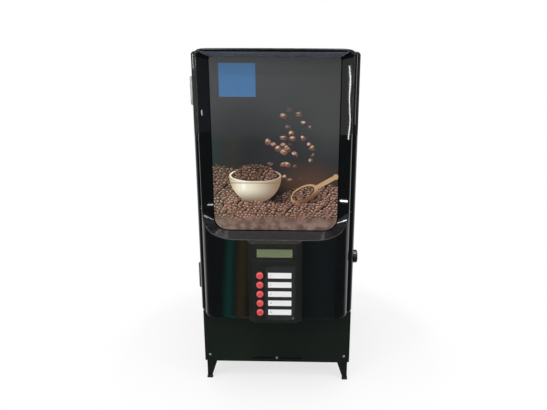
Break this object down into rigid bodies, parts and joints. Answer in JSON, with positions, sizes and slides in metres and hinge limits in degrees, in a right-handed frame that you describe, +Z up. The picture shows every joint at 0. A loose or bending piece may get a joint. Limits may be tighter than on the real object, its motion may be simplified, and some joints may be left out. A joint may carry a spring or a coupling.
{
  "type": "instant coffee machine",
  "caption": "Counter machine for instant hot drinks: framed black door with a picture, display and red push buttons, on a sheet base with short angle legs.",
  "frame": {"origin": "on the counter, under the middle of the machine's overall box", "axes": "+Z up, the front with the door and buttons faces -Y, +X to the right seen from behind the user at the front"},
  "size_m": [0.3116, 0.409, 0.632],
  "materials": {
    "gloss_black": "deep gloss black moulding with soft waviness",
    "black_coat": "matt black powder coat with fine texture",
    "picture_print": null,
    "housing_black": "satin black plastic",
    "display_clear": "clear window",
    "display_glass": "unlit green display glass on its board",
    "button_red": "glossy red plastic",
    "label_card": "white card",
    "label_back": "dark grey satin film",
    "circuit_green": "green lacquered circuit board",
    "zinc_steel": "bright zinc plating",
    "lock_black": "gloss black lock head",
    "canister_white": "milky polypropylene",
    "nylon_white": "natural nylon",
    "hose_silicone": "milky silicone rubber",
    "stainless": "brushed stainless steel",
    "motor_black": "black painted motor can",
    "brass_nickel": "nickel plated brass",
    "coil_iron": "varnished laminated iron",
    "rubber_black": "black rubber",
    "fitting_black": "black nylon"
  },
  "bodies": {
    "cabinet": {"cabinet_wrap": "black_coat", "base_pan": "black_coat", "base_front_plate": "black_coat", "panel_screws": "zinc_steel", "rear_panel": "black_coat", "deck_plate": "zinc_steel", "legs": "black_coat", "leg_caps": "rubber_black", "hinge_cabinet_leaves": "zinc_steel", "hinge_pins": "zinc_steel", "lock_keeper": "zinc_steel", "canisters": "canister_white", "chutes": "canister_white", "canister_shelf": "zinc_steel", "auger_motors": "nylon_white", "bulkhead": "zinc_steel", "mixing_bowls": "nylon_white", "whipper_motors": "motor_black", "nozzle_block": "fitting_black", "nozzle_bracket": "zinc_steel", "hoses": "hose_silicone", "boiler_tank": "stainless", "heater_element": "stainless", "level_probe": "brass_nickel", "water_valves": "fitting_black", "water_pump": "motor_black", "water_inlet": "brass_nickel", "transformer": "coil_iron", "main_board": "circuit_green", "fan_frame": "fitting_black", "mains_socket": "fitting_black", "switch_frame": "fitting_black"},
    "door": {"door_shell": "gloss_black", "picture_panel": "picture_print", "control_housing": "housing_black", "display_window": "display_clear", "display_module": "display_glass", "label_plate": "label_back", "labels": "label_card", "switch_board": "circuit_green", "hinge_door_leaves": "zinc_steel", "lock_barrel": "lock_black", "lock_nut": "brass_nickel"},
    "lock_plug": {"lock_plug": "brass_nickel"},
    "fan_rotor": {"fan_rotor": "fitting_black"},
    "switch_rocker": {"switch_rocker": "button_red"},
    "button_1": {"button_1": "button_red"},
    "button_2": {"button_2": "button_red"},
    "button_3": {"button_3": "button_red"},
    "button_4": {"button_4": "button_red"},
    "button_5": {"button_5": "button_red"},
    "canister_flap_1": {"canister_flap_1": "canister_white"},
    "auger_1": {"auger_1": "nylon_white"},
    "whipper_1": {"whipper_1": "fitting_black"},
    "canister_flap_2": {"canister_flap_2": "canister_white"},
    "auger_2": {"auger_2": "nylon_white"},
    "whipper_2": {"whipper_2": "fitting_black"},
    "canister_flap_3": {"canister_flap_3": "canister_white"},
    "auger_3": {"auger_3": "nylon_white"},
    "whipper_3": {"whipper_3": "fitting_black"}
  },
  "joints": [
    {"name": "door_swing", "type": "hinge", "parent": "cabinet", "child": "door", "pos_m": [-0.1518, -0.121, 0.39], "axis": [0, 0, -1], "range_deg": [0, 110]},
    {"name": "lock_turn", "type": "hinge", "parent": "door", "child": "lock_plug", "pos_m": [0.126, -0.138, 0.262], "axis": [-1, 0, 0], "range_deg": [0, 180]},
    {"name": "button_1_press", "type": "slide", "parent": "door", "child": "button_1", "axis": [0, 1, 0], "range_m": [0, 0.002], "stiffness_N_per_m": 250, "springref_m": -0.004},
    {"name": "button_2_press", "type": "slide", "parent": "door", "child": "button_2", "axis": [0, 1, 0], "range_m": [0, 0.002], "stiffness_N_per_m": 250, "springref_m": -0.004},
    {"name": "button_3_press", "type": "slide", "parent": "door", "child": "button_3", "axis": [0, 1, 0], "range_m": [0, 0.002], "stiffness_N_per_m": 250, "springref_m": -0.004},
    {"name": "button_4_press", "type": "slide", "parent": "door", "child": "button_4", "axis": [0, 1, 0], "range_m": [0, 0.002], "stiffness_N_per_m": 250, "springref_m": -0.004},
    {"name": "button_5_press", "type": "slide", "parent": "door", "child": "button_5", "axis": [0, 1, 0], "range_m": [0, 0.002], "stiffness_N_per_m": 250, "springref_m": -0.004},
    {"name": "canister_flap_1_lift", "type": "hinge", "parent": "cabinet", "child": "canister_flap_1", "pos_m": [-0.092, -0.02, 0.54125], "axis": [-1, 0, 0], "range_deg": [0, 42]},
    {"name": "auger_1_spin", "type": "hinge", "parent": "cabinet", "child": "auger_1", "pos_m": [-0.092, -0.03, 0.4135], "axis": [0, 1, 0], "continuous": true},
    {"name": "whipper_1_spin", "type": "hinge", "parent": "cabinet", "child": "whipper_1", "pos_m": [-0.092, -0.08, 0.282], "axis": [0, 1, 0], "continuous": true},
    {"name": "canister_flap_2_lift", "type": "hinge", "parent": "cabinet", "child": "canister_flap_2", "pos_m": [0, -0.02, 0.54125], "axis": [-1, 0, 0], "range_deg": [0, 42]},
    {"name": "auger_2_spin", "type": "hinge", "parent": "cabinet", "child": "auger_2", "pos_m": [0, -0.03, 0.4135], "axis": [0, 1, 0], "continuous": true},
    {"name": "whipper_2_spin", "type": "hinge", "parent": "cabinet", "child": "whipper_2", "pos_m": [0, -0.08, 0.282], "axis": [0, 1, 0], "continuous": true},
    {"name": "canister_flap_3_lift", "type": "hinge", "parent": "cabinet", "child": "canister_flap_3", "pos_m": [0.092, -0.02, 0.54125], "axis": [-1, 0, 0], "range_deg": [0, 42]},
    {"name": "auger_3_spin", "type": "hinge", "parent": "cabinet", "child": "auger_3", "pos_m": [0.092, -0.03, 0.4135], "axis": [0, 1, 0], "continuous": true},
    {"name": "whipper_3_spin", "type": "hinge", "parent": "cabinet", "child": "whipper_3", "pos_m": [0.092, -0.08, 0.282], "axis": [0, 1, 0], "continuous": true},
    {"name": "fan_spin", "type": "hinge", "parent": "cabinet", "child": "fan_rotor", "pos_m": [0.04, 0.175, 0.54], "axis": [0, 1, 0], "continuous": true},
    {"name": "mains_switch_rock", "type": "hinge", "parent": "cabinet", "child": "switch_rocker", "pos_m": [-0.05, 0.188, 0.1], "axis": [1, 0, 0], "range_deg": [0, 24]}
  ]
}
